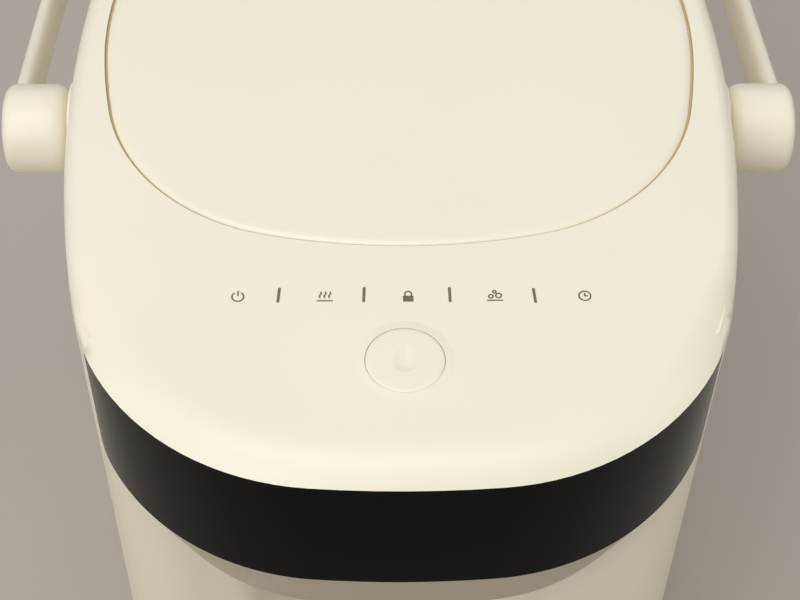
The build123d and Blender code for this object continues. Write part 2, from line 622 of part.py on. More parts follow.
with BuildPart() as inlet_contacts:
    with BuildSketch(Plane.XZ.offset(-inlet_face_y + 6)):
        with Locations((-7, inlet_z - 2), (0, inlet_z + 2), (7, inlet_z - 2)):
            Rectangle(2, 4)
    extrude(amount=22)
inlet_contacts.part.label = "inlet_contacts"
export_step(inlet_contacts.part, "parts/inlet_contacts.step")

# ================================================================ lid and its hinge
lid_height = top_z - lid_bottom_z
with BuildPart() as lid_cover:
    # its edge rolls off before the seam: a larger slab is rounded, then cut back to the outline
    outline_slab(lid_plan, seam_gap / 2 + lid_edge_run - lid_edge_round, lid_bottom_z, lid_height)
    fillet(lid_cover.faces().sort_by(Axis.Z)[-1].outer_wire().edges(), lid_edge_round)
    outline_slab(lid_plan, seam_gap / 2, lid_bottom_z, lid_height, Mode.INTERSECT)
    outline_slab(lid_plan, seam_gap / 2 + lid_skin, lid_bottom_z, lid_height - lid_skin, Mode.SUBTRACT)
    discs([(0, steam_y)], steam_radius, lid_bottom_z, lid_height, Mode.SUBTRACT)
    for side in (-1, 1):
        # notch in the rear wall for each ear of the fixed bracket
        ear_x = side * bracket_ear_x
        block((ear_x - ear_width / 2 - 0.6, ear_x + ear_width / 2 + 0.6), (hinge_y, lid_rear_y),
              (lid_bottom_z, top_z - lid_skin), Mode.SUBTRACT)
        # knuckle that turns on the pin, hung from the skin
        with BuildSketch(Plane.YZ.offset(side * lid_ear_x)):
            with Locations((hinge_y, hinge_z)):
                Circle(knuckle_radius)
                Rectangle(2 * knuckle_radius, top_z - lid_skin - hinge_z, align=(Align.CENTER, Align.MIN))
                Circle(hinge_pin_radius + running_gap, mode=Mode.SUBTRACT)
        extrude(amount=ear_width / 2, both=True)
lid_cover.part.label = "lid_cover"
export_step(lid_cover.part, "parts/lid_cover.step")

# Coloured trim on the lid's wall, down in the seam. It ends before the sides turn in to the hinge.
with BuildPart() as lid_trim:
    trim_bottom_z = top_z - trim_depth - trim_height
    outline_slab(lid_plan, trim_gap - seam_gap / 2, trim_bottom_z, trim_height)
    outline_slab(lid_plan, seam_gap / 2, trim_bottom_z, trim_height, Mode.SUBTRACT)
    block((-120, 120), (trim_end_y, 130), (lid_bottom_z, top_z), Mode.SUBTRACT)
lid_trim.part.label = "lid_trim"
export_step(lid_trim.part, "parts/lid_trim.step")

bowl_floor_z, bowl_top_z, bowl_round = lid_bottom_z - bowl_depth, lid_bottom_z + 1, 6.0
with BuildPart() as lid_inner:
    outline_slab(lid_plan, seam_gap / 2 + lid_skin + 0.1, lid_bottom_z, lid_plate_thickness)
    block((-120, 120), (hinge_y - knuckle_radius, 130), (lid_bottom_z, lid_bottom_z + 5), Mode.SUBTRACT)
    with BuildSketch(Plane.XZ) as bowl_half:
        with BuildLine():
            FilletPolyline((0, bowl_floor_z), (bowl_radius, bowl_floor_z), (bowl_radius, bowl_top_z),
                           radius=bowl_round)
            Polyline((bowl_radius, bowl_top_z), (0, bowl_top_z), (0, bowl_floor_z))
        make_face()
    pot_axis = Axis((0, pot_y, 0), (0, 0, 1))
    revolve(Location((0, pot_y, 0)) * bowl_half.sketch, axis=pot_axis)
    with BuildSketch(Plane.XZ) as hollow_half:
        with BuildLine():
            inside, inside_z = bowl_radius - bowl_wall, bowl_floor_z + bowl_wall
            FilletPolyline((0, inside_z), (inside, inside_z), (inside, top_z), radius=bowl_round - bowl_wall)
            Polyline((inside, top_z), (0, top_z), (0, inside_z))
        make_face()
    revolve(Location((0, pot_y, 0)) * hollow_half.sketch, axis=pot_axis, mode=Mode.SUBTRACT)
    # steam holes under the vent
    with BuildSketch(Plane.XY.offset(bowl_floor_z)):
        with Locations((0, steam_y)):
            Circle(1.2)
            with PolarLocations(3.2, 5):
                Circle(1.0)
    extrude(amount=bowl_wall, mode=Mode.SUBTRACT)
lid_inner.part.label = "lid_inner"
export_step(lid_inner.part, "parts/lid_inner.step")

with BuildPart() as lid_gasket:
    pot_ring(mouth_radius + 4, mouth_radius + 1, ledge_z + body_gap, lid_bottom_z - ledge_z - body_gap)
    chamfer(lid_gasket.edges().group_by(Axis.Z)[0].sort_by(SortBy.RADIUS)[-1], 1.2)
lid_gasket.part.label = "lid_gasket"
export_step(lid_gasket.part, "parts/lid_gasket.step")

# Steam vent: a slotted cap, flush with the lid, on a tube down to the holes in the bowl.
steam_tube_radius, steam_tube_wall = 6.0, 1.2
with BuildPart() as steam_cap:
    discs([(0, steam_y)], steam_radius - body_gap, top_z - lid_skin, lid_skin - 0.2)
    fillet(steam_cap.edges().group_by(Axis.Z)[-1], 0.8)
    tube_bottom_z = bowl_floor_z + bowl_wall
    tube_height = top_z - lid_skin - tube_bottom_z
    discs([(0, steam_y)], steam_tube_radius, tube_bottom_z, tube_height)
    discs([(0, steam_y)], steam_tube_radius - steam_tube_wall, tube_bottom_z, tube_height, Mode.SUBTRACT)
    with BuildSketch(Plane.XY.offset(top_z - lid_skin)):
        with Locations((0, steam_y)):
            with GridLocations(0, 3.2, 1, 3):
                SlotOverall(8, 1.4)
    extrude(amount=lid_skin, mode=Mode.SUBTRACT)
steam_cap.part.label = "steam_cap"
export_step(steam_cap.part, "parts/steam_cap.step")

with BuildPart() as hinge_bracket:
    block((-46, 46), (hinge_y - 2.5, hinge_y + 5.5), (ledge_z, ledge_z + 1))
    for side in (-1, 1):
        with BuildSketch(Plane.YZ.offset(side * bracket_ear_x)):
            with Locations((hinge_y, hinge_z)):
                Circle(knuckle_radius)
                Rectangle(2 * knuckle_radius, hinge_z - ledge_z, align=(Align.CENTER, Align.MAX))
                Circle(hinge_pin_radius, mode=Mode.SUBTRACT)
        extrude(amount=ear_width / 2, both=True)
hinge_bracket.part.label = "hinge_bracket"
export_step(hinge_bracket.part, "parts/hinge_bracket.step")

with BuildPart() as hinge_pin:
    with Locations((0, hinge_y, hinge_z)):
        Cylinder(hinge_pin_radius, 92, rotation=(0, 90, 0))
hinge_pin.part.label = "hinge_pin"
export_step(hinge_pin.part, "parts/hinge_pin.step")

# ================================================================ dispensing button
guide_floor_z, guide_top_z = 309.0, deck_bottom_z
button_top_z, button_roof_z, button_skirt_z = top_z + button_proud, 319.3, 312.0
button_wall = 1.5
stem_radius, stem_bottom_z = 3.0, 303.0
with BuildPart() as dispense_button:
    # hollow cap with a rolled edge, on a stem
    with BuildSketch(Plane.XZ.offset(-button_y)):
        with BuildLine():
            edge_start = (button_radius - button_edge_run, button_top_z)
            edge_end = (button_radius, button_top_z - button_edge_drop)
            TangentArc(edge_start, edge_end, tangent=(1, 0))
            Polyline(edge_end, (button_radius, button_skirt_z), (button_radius - button_wall, button_skirt_z),
                     (button_radius - button_wall, button_roof_z), (stem_radius, button_roof_z),
                     (stem_radius, stem_bottom_z), (0, stem_bottom_z), (0, button_top_z), edge_start)
        make_face()
    revolve(axis=Axis((0, button_y, 0), (0, 0, 1)))
    # collar that stops the button against its guide
    discs([(0, button_y)], stem_radius + 1.6, stem_bottom_z + 1, 1.7)
    # raised water drop: a round belly with straight sides to the tip
    drop_lean = degrees(asin(drop_radius / (drop_tip_y - drop_bottom_y - drop_radius)))
    with BuildSketch(Plane.XY.offset(button_top_z)):
        with BuildLine():
            belly = JernArc((0, drop_bottom_y), (1, 0), drop_radius, 90 + drop_lean)
            Line(belly @ 1, (0, drop_tip_y))
            mirror(about=Plane.YZ)
        make_face()
    extrude(amount=drop_height)
dispense_button.part.label = "dispense_button"
export_step(dispense_button.part, "parts/dispense_button.step")

with BuildPart() as button_guide:
    discs([(0, button_y)], dish_floor_radius + shell_wall, guide_floor_z - 3, guide_top_z - guide_floor_z + 3)
    discs([(0, button_y)], dish_floor_radius, guide_floor_z, guide_top_z - guide_floor_z, Mode.SUBTRACT)
    discs([(0, button_y)], stem_radius + body_gap, guide_floor_z - 3, 3, Mode.SUBTRACT)
    # cradle that holds the switch under the stem
    block((-9, 9), (button_y - 5, button_y + 5), (288, guide_floor_z - 3))
    block((-7.5, 7.5), (button_y - 5, button_y + 5), (290, guide_floor_z - 3), Mode.SUBTRACT)
button_guide.part.label = "button_guide"
export_step(button_guide.part, "parts/button_guide.step")

spring_radius, spring_wire, spring_turns = 6.0, 0.5, 5
spring_pitch = (button_roof_z - 0.1 - guide_floor_z - 2 * spring_wire) / spring_turns
with BuildPart() as button_spring:
    with BuildLine(Plane(origin=(0, button_y, guide_floor_z + spring_wire))) as coil:
        Helix(spring_pitch, spring_pitch * spring_turns, spring_radius)
    with BuildSketch(Plane(origin=coil.line @ 0, z_dir=coil.line % 0)):
        RegularPolygon(spring_wire, 6)
    sweep(path=coil.line)
button_spring.part.label = "button_spring"
export_step(button_spring.part, "parts/button_spring.step")

with BuildPart() as button_switch:
    block((-7.3, 7.3), (button_y - 4, button_y + 4), (290, 298))
    discs([(0, button_y)], 1.6, 298, 2.5)
button_switch.part.label = "button_switch"
export_step(button_switch.part, "parts/button_switch.step")

# ================================================================ carrying bail
# It lies back behind the head at rest; its plane runs through the hubs' axis.
tilt = radians(rest_angle)
bail_plane = Plane(origin=(0, hub_y, hub_z), x_dir=(1, 0, 0), z_dir=(0, sin(tilt), cos(tilt)))
grip_edge = grip_depth / 2 - grip_round
grip_rear_y = -head_front_y
straight_reach = grip_rear_y - hub_y - grip_round - (grip_height / 2 - grip_round) * sin(tilt)
bail_reach = straight_reach / cos(tilt) - grip_edge

with BuildPart() as bail_handle:
    with BuildLine(bail_plane) as rail:
        FilletPolyline((-arm_x, 0), (-arm_x, bail_reach), (arm_x, bail_reach), (arm_x, 0), radius=bail_bend)
    with BuildSketch(Plane(origin=rail.line @ 0, x_dir=(1, 0, 0), z_dir=rail.line % 0)):
        RectangleRounded(arm_width, arm_height, arm_round)
    sweep(path=rail.line)
    with BuildSketch(Plane(origin=bail_plane.from_local_coords((-grip_length / 2, bail_reach, 0)),
                           x_dir=bail_plane.y_dir, z_dir=(1, 0, 0))):
        RectangleRounded(grip_depth, grip_height, grip_round)
    extrude(amount=grip_length)
    # hubs on both ends of the arms, with blind bores for the pivots
    with BuildSketch(Plane(origin=(0, hub_y, hub_z))) as hub_half:
        with Locations((hub_inner_x, 0)):
            Rectangle(hub_outer_x - hub_inner_x, hub_radius, align=Align.MIN)
        fillet(hub_half.vertices().group_by(Axis.Y)[-1].sort_by(Axis.X)[-1], hub_outer_round)
        fillet(hub_half.vertices().group_by(Axis.Y)[-1].sort_by(Axis.X)[0], hub_inner_round)
    right_hub = revolve(axis=Axis((0, hub_y, hub_z), (1, 0, 0)))
    mirror(right_hub, about=Plane.YZ)
    bore_length = 2 * (pivot_end_x + body_gap)
    with Locations((0, hub_y, hub_z)):
        Cylinder(pivot_radius + running_gap, bore_length, rotation=(0, 90, 0), mode=Mode.SUBTRACT)
bail_handle.part.label = "bail_handle"
export_step(bail_handle.part, "parts/bail_handle.step")

for name, side in (("handle_pivot_left", -1), ("handle_pivot_right", 1)):
    with BuildPart() as handle_pivot:
        with BuildSketch(Plane(origin=(side * (boss_inner_x - 3), hub_y, hub_z), z_dir=(side, 0, 0))):
            Circle(pivot_radius)
        extrude(amount=pivot_end_x - boss_inner_x + 3)
        with BuildSketch(Plane(origin=(side * (boss_inner_x - 3), hub_y, hub_z), z_dir=(side, 0, 0))):
            Circle(pivot_radius + 2)
        extrude(amount=3)
    handle_pivot.part.label = name
    export_step(handle_pivot.part, f"parts/{name}.step")
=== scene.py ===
# Electric thermo pot: finishes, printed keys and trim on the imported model
import json
import math

import bmesh
import bpy
from mathutils import Matrix, Vector


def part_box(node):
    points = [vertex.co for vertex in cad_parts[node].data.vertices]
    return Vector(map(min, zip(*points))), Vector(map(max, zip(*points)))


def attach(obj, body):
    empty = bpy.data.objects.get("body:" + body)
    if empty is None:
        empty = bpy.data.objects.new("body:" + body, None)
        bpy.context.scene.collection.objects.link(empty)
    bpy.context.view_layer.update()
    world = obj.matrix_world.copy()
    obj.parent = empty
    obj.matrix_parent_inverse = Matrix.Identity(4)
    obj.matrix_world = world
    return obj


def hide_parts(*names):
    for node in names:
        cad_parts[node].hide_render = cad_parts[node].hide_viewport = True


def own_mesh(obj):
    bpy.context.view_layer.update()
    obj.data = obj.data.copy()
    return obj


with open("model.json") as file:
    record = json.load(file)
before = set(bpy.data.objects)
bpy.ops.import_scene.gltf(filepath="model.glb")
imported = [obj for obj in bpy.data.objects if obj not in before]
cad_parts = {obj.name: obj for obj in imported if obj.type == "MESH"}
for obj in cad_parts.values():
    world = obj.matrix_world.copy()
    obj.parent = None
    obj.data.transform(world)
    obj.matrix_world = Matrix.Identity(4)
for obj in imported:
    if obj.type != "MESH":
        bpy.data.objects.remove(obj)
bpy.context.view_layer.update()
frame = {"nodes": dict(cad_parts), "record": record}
mm = 0.001
print("frame loaded with", len(frame["nodes"]), "nodes")


# shader maths: fields stand for sockets, finishes for materials

class Field:
    # wraps a socket, so that a sum of fields adds its Math nodes
    def __init__(self, finish, socket):
        self.finish = finish
        self.socket = socket

    def combine(self, operation, first, second):
        node = self.finish.node("ShaderNodeMath", {"operation": operation}, {0: first, 1: second})
        return Field(self.finish, node.outputs[0])

    def __add__(self, other):
        return self.combine("ADD", self, other)

    def __radd__(self, other):
        return self.combine("ADD", other, self)

    def __sub__(self, other):
        return self.combine("SUBTRACT", self, other)

    def __rsub__(self, other):
        return self.combine("SUBTRACT", other, self)

    def __mul__(self, other):
        return self.combine("MULTIPLY", self, other)

    def __rmul__(self, other):
        return self.combine("MULTIPLY", other, self)

    def __pow__(self, other):
        return self.combine("POWER", self, other)


class Finish:
    # one material: a Principled shader and the fields that vary over it
    def __init__(self, name, colour, roughness, **fixed):
        self.material = bpy.data.materials.new(name)
        self.material.use_nodes = True
        self.tree = self.material.node_tree
        self.shader = self.tree.nodes["Principled BSDF"]
        self.colour = linear(colour)
        self.shader.inputs["Base Color"].default_value = self.colour
        self.shader.inputs["Roughness"].default_value = roughness
        for socketName, value in fixed.items():
            self.shader.inputs[socketName.replace("_", " ")].default_value = value
        self.place = Field(self, self.node("ShaderNodeTexCoord").outputs["Object"])

    def node(self, kind, settings=None, inputs=None):
        # makes any node: settings come first, then values or links for its sockets
        made = self.tree.nodes.new(kind)
        for key, value in (settings or {}).items():
            setattr(made, key, value)
        for key, value in (inputs or {}).items():
            if isinstance(value, Field):
                self.tree.links.new(value.socket, made.inputs[key])
            else:
                made.inputs[key].default_value = value
        return made

    def feed(self, socketName, field):
        self.tree.links.new(field.socket, self.shader.inputs[socketName])

    def noise(self, scale, detail=2.0, roughness=0.5, stretch=(1, 1, 1)):
        place = self.place
        if stretch != (1, 1, 1):
            mapping = self.node("ShaderNodeMapping", None, {"Vector": place, "Scale": stretch})
            place = Field(self, mapping.outputs[0])
        made = self.node("ShaderNodeTexNoise", None,
                         {"Vector": place, "Scale": scale, "Detail": detail, "Roughness": roughness})
        return Field(self, made.outputs[0])

    def axis(self, name):
        parts = self.node("ShaderNodeSeparateXYZ", None, {0: self.place})
        return Field(self, parts.outputs[name])

    def ramp(self, field, low, high):
        # 0 below low, 1 above high, and smooth between them
        made = self.node("ShaderNodeMapRange", {"interpolation_type": "SMOOTHSTEP"},
                         {0: field, 1: low, 2: high})
        return Field(self, made.outputs[0])

    def blend(self, factor, first, second):
        made = self.node("ShaderNodeMix", {"data_type": "RGBA"}, {0: factor, 6: first, 7: second})
        return Field(self, made.outputs[2])

    def mottle(self, field, darkest, lightest):
        # the finish's own colour, between two gains
        dark, light = tinted(self.colour, darkest), tinted(self.colour, lightest)
        self.feed("Base Color", self.blend(field, dark, light))

    def dull(self, field, least, span):
        self.feed("Roughness", least + span * field)

    def relief(self, height, strength, depth):
        made = self.node("ShaderNodeBump", None, {"Height": height, "Strength": strength, "Distance": depth})
        self.feed("Normal", Field(self, made.outputs[0]))


def linear(colour):
    # colours are written as they look on a screen, from 0 to 255
    screenGamma = 2.2
    return tuple((part / 255) ** screenGamma for part in colour) + (1.0,)


def tinted(colour, gain):
    return tuple(part * gain for part in colour[:3]) + (1.0,)


def mouldedPlastic(name, colour, roughness, coat=0.0, grain=0.0):
    # injection-moulded: slow drifts of tone, clouds in the gloss and a fine eroded grain
    finish = Finish(name, colour, roughness, Coat_Roughness=0.26)
    drift = finish.noise(scale=9, detail=3)
    finish.mottle(finish.ramp(drift, low=0.3, high=0.7), darkest=0.985, lightest=1.012)
    cloud = finish.noise(scale=55, detail=4, roughness=0.6)
    finish.dull(cloud, least=roughness - 0.04, span=0.08)
    if coat:
        finish.shader.inputs["Coat Weight"].default_value = coat
    if grain:
        pits = finish.noise(scale=1900, detail=2, roughness=0.65)
        finish.relief(pits, strength=grain, depth=0.06 * mm)
    return finish


def glossBand(name, colour):
    # clear lacquer on black: wiped smears show in the gloss, and a few specks of dust in the colour
    dustColour = (24, 23, 22)
    finish = Finish(name, colour, 0.07, Specular_IOR_Level=0.06)
    smear = finish.noise(scale=18, detail=4, roughness=0.6, stretch=(1.0, 1.0, 3.0))
    finish.dull(smear, least=0.05, span=0.07)
    dust = finish.noise(scale=1500, detail=1, roughness=0.4)
    specks = finish.ramp(dust, low=0.74, high=0.8)
    finish.feed("Base Color", finish.blend(specks, finish.colour, linear(dustColour)))
    return finish


def brushedMetal(name, colour, roughness, streak=(1, 1, 40)):
    # the streaks are fine along the axis with the large number
    finish = Finish(name, colour, roughness, Metallic=1.0)
    lines = finish.noise(scale=160, detail=3, roughness=0.7, stretch=streak)
    finish.dull(lines, least=roughness - 0.07, span=0.16)
    finish.mottle(lines, darkest=0.93, lightest=1.04)
    finish.relief(lines, strength=0.12, depth=0.02 * mm)
    return finish


def turnedMetal(name, colour, roughness, centre):
    # spun steel: rings about an upright axis
    ringScale = 900
    finish = Finish(name, colour, roughness, Metallic=1.0)
    across = (finish.axis("X") - centre[0]) ** 2.0
    along = (finish.axis("Y") - centre[1]) ** 2.0
    radius = (across + along) ** 0.5
    place = finish.node("ShaderNodeCombineXYZ", None,
                        {0: radius * ringScale, 1: finish.axis("Z") * ringScale})
    pattern = finish.node("ShaderNodeTexNoise", {"noise_dimensions": "2D"},
                          {"Vector": Field(finish, place.outputs[0]), "Scale": 1.0, "Detail": 2.0})
    rings = Field(finish, pattern.outputs[0])
    finish.dull(rings, least=roughness - 0.06, span=0.14)
    finish.mottle(rings, darkest=0.92, lightest=1.05)
    finish.relief(rings, strength=0.08, depth=0.02 * mm)
    return finish


def softRubber(name, colour, roughness):
    # a dusty bloom over a fine tooth
    finish = Finish(name, colour, roughness)
    bloom = finish.noise(scale=140, detail=4, roughness=0.65)
    finish.mottle(bloom, darkest=0.9, lightest=1.12)
    finish.dull(bloom, least=roughness - 0.08, span=0.16)
    finish.relief(finish.noise(scale=1200), strength=0.15, depth=0.05 * mm)
    return finish


def clearPlastic(name, colour, roughness, alpha):
    finish = Finish(name, colour, roughness, Alpha=alpha)
    haze = finish.noise(scale=30, detail=3)
    finish.dull(haze, least=roughness, span=0.06)
    finish.feed("Alpha", alpha - 0.03 + 0.06 * haze)
    return finish


def circuitBoard(name, colour, roughness):
    # lacquered laminate with faint tracks under the lacquer
    finish = Finish(name, colour, roughness)
    pattern = finish.node("ShaderNodeTexBrick", None,
                          {"Vector": finish.place, "Scale": 160.0, "Mortar Size": 0.06})
    tracks = Field(finish, pattern.outputs["Fac"])
    finish.mottle(tracks, darkest=1.0, lightest=1.9)
    finish.dull(finish.noise(scale=300), least=roughness - 0.05, span=0.12)
    return finish


def mattedFelt(name, colour, roughness):
    finish = Finish(name, colour, roughness)
    fibres = finish.noise(scale=420, detail=5, roughness=0.75)
    finish.mottle(fibres, darkest=0.8, lightest=1.1)
    finish.relief(fibres, strength=0.6, depth=0.4 * mm)
    return finish


finishes = {
    # what it is for: kind(material's name, colour, roughness)
    "cream": mouldedPlastic("creamPlastic", (240, 234, 215), 0.42, coat=0.22, grain=0.05),
    "creamLid": mouldedPlastic("creamLid", (240, 234, 215), 0.4, coat=0.26, grain=0.04),
    "creamBody": mouldedPlastic("creamBody", (233, 227, 206), 0.38, coat=0.15, grain=0.08),
    # painted shade: this tan stands in for the shade in the narrow gap round the lid
    "seam": mouldedPlastic("paintedSeamShade", (190, 169, 127), 0.5),
    "gloss": glossBand("blackGloss", (9, 9, 8)),
    "taupe": mouldedPlastic("taupePlastic", (186, 176, 158), 0.45, grain=0.12),
    "grey": mouldedPlastic("greyPlastic", (128, 127, 122), 0.5, grain=0.2),
    "dark": mouldedPlastic("darkPlastic", (34, 34, 34), 0.5, grain=0.2),
    "ink": mouldedPlastic("greyInk", (112, 106, 92), 0.6),
    "potSteel": turnedMetal("spunSteel", (196, 196, 194), 0.3, centre=(0.0, 22.5 * mm)),
    "steel": brushedMetal("plainSteel", (176, 176, 176), 0.35),
    "aluminium": brushedMetal("castAluminium", (186, 188, 190), 0.5, streak=(1, 1, 1)),
    "silicone": softRubber("siliconeRubber", (214, 211, 202), 0.55),
    "rubber": softRubber("footRubber", (34, 33, 32), 0.8),
    "clear": clearPlastic("clearPlastic", (206, 212, 212), 0.08, alpha=0.42),
    "board": circuitBoard("boardLacquer", (24, 92, 52), 0.35),
    "brass": brushedMetal("contactBrass", (212, 176, 104), 0.3, streak=(40, 1, 1)),
    "felt": mattedFelt("jacketFelt", (214, 210, 198), 0.95),
}
print("finishes made:", len(finishes))


# pieces made from the CAD nodes' own shells

meshing = {
    "weld": 1e-6,  # the CAD's loose triangles join at points nearer than this
    "spinWeld": 1e-7,
    "flatTurn": 0.3,  # degrees up to which neighbouring triangles become one face
    "hardTurn": 30.0,  # edges that turn by more are broken
    "breakSteps": 2,
    "sharpTurn": 48.0,  # edges that turn by more stay sharp in the shading
    "spunSharpTurn": 40.0,  # the same, for the spun pieces
    "evenWeight": 80,  # how far large faces keep their own normal
}


def smoothUnder(bm, degrees):
    # smooth shading, but for the edges that turn by more than this
    for face in bm.faces:
        face.smooth = True
    for edge in bm.edges:
        edge.smooth = not (edge.is_manifold and edge.calc_face_angle() > math.radians(degrees))


def shadeEvenly(piece):
    # large faces keep their own normal, so roundings don't smear over them
    weighted = piece.modifiers.new("evenShading", "WEIGHTED_NORMAL")
    weighted.keep_sharp = True
    weighted.weight = meshing["evenWeight"]


def addPiece(name, bm, body, finish, standsFor=()):
    mesh = bpy.data.meshes.new(name)
    bm.to_mesh(mesh)
    bm.free()
    piece = bpy.data.objects.new(name, mesh)
    bpy.context.scene.collection.objects.link(piece)
    mesh.materials.append(finishes[finish].material)
    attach(piece, body)
    if standsFor:
        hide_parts(*standsFor)
    return piece


def softenedShell(name, node, body, finish, edge, mend=None, reshape=None):
    # the node's own shell with its triangles joined and its hard edges broken
    bm = bmesh.new()
    bm.from_mesh(frame["nodes"][node].data)
    bmesh.ops.remove_doubles(bm, verts=bm.verts, dist=meshing["weld"])
    if mend:
        mend(bm)
    bmesh.ops.dissolve_limit(bm, angle_limit=math.radians(meshing["flatTurn"]), verts=bm.verts,
                             edges=bm.edges, use_dissolve_boundaries=False)
    if reshape:
        reshape(bm)
    if edge:
        hard = [side for side in bm.edges
                if side.is_manifold and side.calc_face_angle() > math.radians(meshing["hardTurn"])]
        bmesh.ops.bevel(bm, geom=hard, offset=edge, offset_type="OFFSET", segments=meshing["breakSteps"],
                        profile=0.5, affect="EDGES", clamp_overlap=True, material=-1)
    smoothUnder(bm, meshing["sharpTurn"])
    piece = addPiece(name, bm, body, finish, (node,))
    shadeEvenly(piece)
    return piece


shells = {
    # node: (piece, body, slot, finish, edge in mm)
    "body_shell": ("bodyShell", "pot", "cream_plastic", "creamBody", 0.4),
    "display_band": ("displayBand", "pot", "black_gloss", "gloss", 0.2),
    "beak_cover": ("beakCover", "pot", "taupe_plastic", "taupe", 0.3),
    "lid_cover": ("lidCover", "lid", "cream_plastic", "creamLid", 0.25),
    "inner_pot": ("innerPot", "pot", "pot_steel", "potSteel", 0.2),
    "base_plate": ("basePlate", "pot", "grey_plastic", "grey", 0.3),
    "level_window": ("levelWindow", "pot", "clear_plastic", "clear", 0.2),
    "spout_nozzle": ("spoutNozzle", "pot", "grey_plastic", "grey", 0.2),
    "steam_cap": ("steamCap", "lid", "cream_plastic", "cream", 0.15),
    "power_inlet": ("powerInlet", "pot", "grey_plastic", "dark", 0.2),
    "rubber_feet": ("rubberFeet", "pot", "foot_rubber", "rubber", 0.2),
}
for node, (pieceName, body, slot, finish, edge) in shells.items():
    softenedShell(pieceName, node, body, finish, edge * mm)
print("shells softened:", len(shells))

bowl = {
    "stripFrom": -1.35 * mm,  # y of the strip across the lid's bowl that holds the slit
    "stripTo": 0.15 * mm,
    "edge": 0.2 * mm,
}


def closeStrip(bm):
    # the shell is cut on both sides of a narrow slit, and its two sound sections are joined
    small = 0.01 * mm
    for y in (bowl["stripFrom"], bowl["stripTo"]):
        bmesh.ops.bisect_plane(bm, geom=bm.verts[:] + bm.edges[:] + bm.faces[:], plane_co=(0, y, 0),
                               plane_no=(0, 1, 0))
    strip = [face for face in bm.faces
             if all(bowl["stripFrom"] - small < vert.co.y < bowl["stripTo"] + small for vert in face.verts)]
    bmesh.ops.delete(bm, geom=strip, context="FACES")
    bmesh.ops.bridge_loops(bm, edges=[edge for edge in bm.edges if edge.is_boundary])
    bmesh.ops.recalc_face_normals(bm, faces=bm.faces)


softenedShell("lidInner", "lid_inner", "lid", "potSteel", bowl["edge"], mend=closeStrip)
print("lid bowl closed")

# the head: a raised collar round the button, and a long soft rim over the band
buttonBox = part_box("dispense_button")
head = {"deckZ": 322.0 * mm, "edge": 0.35 * mm}
collar = {
    "centreY": (buttonBox[0].y + buttonBox[1].y) / 2,
    "foot": 15.2 * mm,  # radius where the collar leaves the deck
    "floorZ": 321.1 * mm,  # lowest part of the solid's dish, which the collar replaces
    "bore": 12.15 * mm,
    "rise": 0.5 * mm,
    "slopeRings": 5,
    "lip": ((12.28, 0.0), (12.215, 0.02), (12.175, 0.05), (12.155, 0.09), (12.15, 0.15)),  # mm: radius, drop
}


def ringRadius(vert):
    return math.hypot(vert.co.x, vert.co.y - collar["centreY"])


def inwardRing(bm, ring, radius, z):
    # one more ring of the collar, drawn in from the last
    raised = bmesh.ops.extrude_edge_only(bm, edges=ring)["geom"]
    for item in raised:
        if isinstance(item, bmesh.types.BMVert):
            share = radius / ringRadius(item)
            item.co = (item.co.x * share, collar["centreY"] + (item.co.y - collar["centreY"]) * share, z)
    return [item for item in raised if isinstance(item, bmesh.types.BMEdge)]


def raiseCollar(bm):
    # the deck swells a little towards the button's bore
    small = 0.05 * mm
    slope = [face for face in bm.faces if all(
        collar["bore"] - small < ringRadius(vert) < collar["foot"] + small
        and collar["floorZ"] - small < vert.co.z < head["deckZ"] + small for vert in face.verts)]
    bmesh.ops.delete(bm, geom=slope, context="FACES")
    torn = [edge for edge in bm.edges if edge.is_boundary]
    deckEdge = [edge for edge in torn if edge.verts[0].co.z > head["deckZ"] - small]
    boreEdge = [edge for edge in torn if edge.verts[0].co.z < head["deckZ"] - small]
    steps = collar["slopeRings"]
    lipRadius = collar["lip"][0][0] * mm
    for step in range(1, steps):
        deckEdge = inwardRing(bm, deckEdge, collar["foot"] + (lipRadius - collar["foot"]) * step / steps,
                              head["deckZ"] + collar["rise"] * step / steps)
    for radius, drop in collar["lip"]:
        deckEdge = inwardRing(bm, deckEdge, radius * mm, head["deckZ"] + collar["rise"] - drop * mm)
    bmesh.ops.bridge_loops(bm, edges=deckEdge + boreEdge)
    bmesh.ops.recalc_face_normals(bm, faces=bm.faces)


frontRim = {
    "round": 6.0 * mm,  # the solid's own rounding
    "reach": 15.0 * mm,  # how far in from the edge the long slope starts
    "power": 2.4,  # how late it steepens
    "fullY": -118.0 * mm,  # in front of this the slope has its whole length
    "noneY": -82.0 * mm,  # behind this the rounding stays
    "slack": 0.12 * mm,  # how far a point of the rounding may lie off its arc
}


def softStep(share):
    # 0 up to 1 with a soft start and end, and flat beyond them
    share = min(max(share, 0.0), 1.0)
    return share * share * (3 - 2 * share)


def nearestOnOutline(outline, place):
    # how far a place is from an outline, the outline's nearest point and the way in, all in plan
    found = None
    for start, end in outline:
        along = end.co.xy - start.co.xy
        share = min(max((place - start.co.xy).dot(along) / along.length_squared, 0.0), 1.0)
        point = start.co.xy + along * share
        if found is None or (point - place).length < found[0]:
            inward = -start.normal.xy.normalized().lerp(end.normal.xy.normalized(), share)
            found = (point - place).length, point, inward.normalized()
    return found


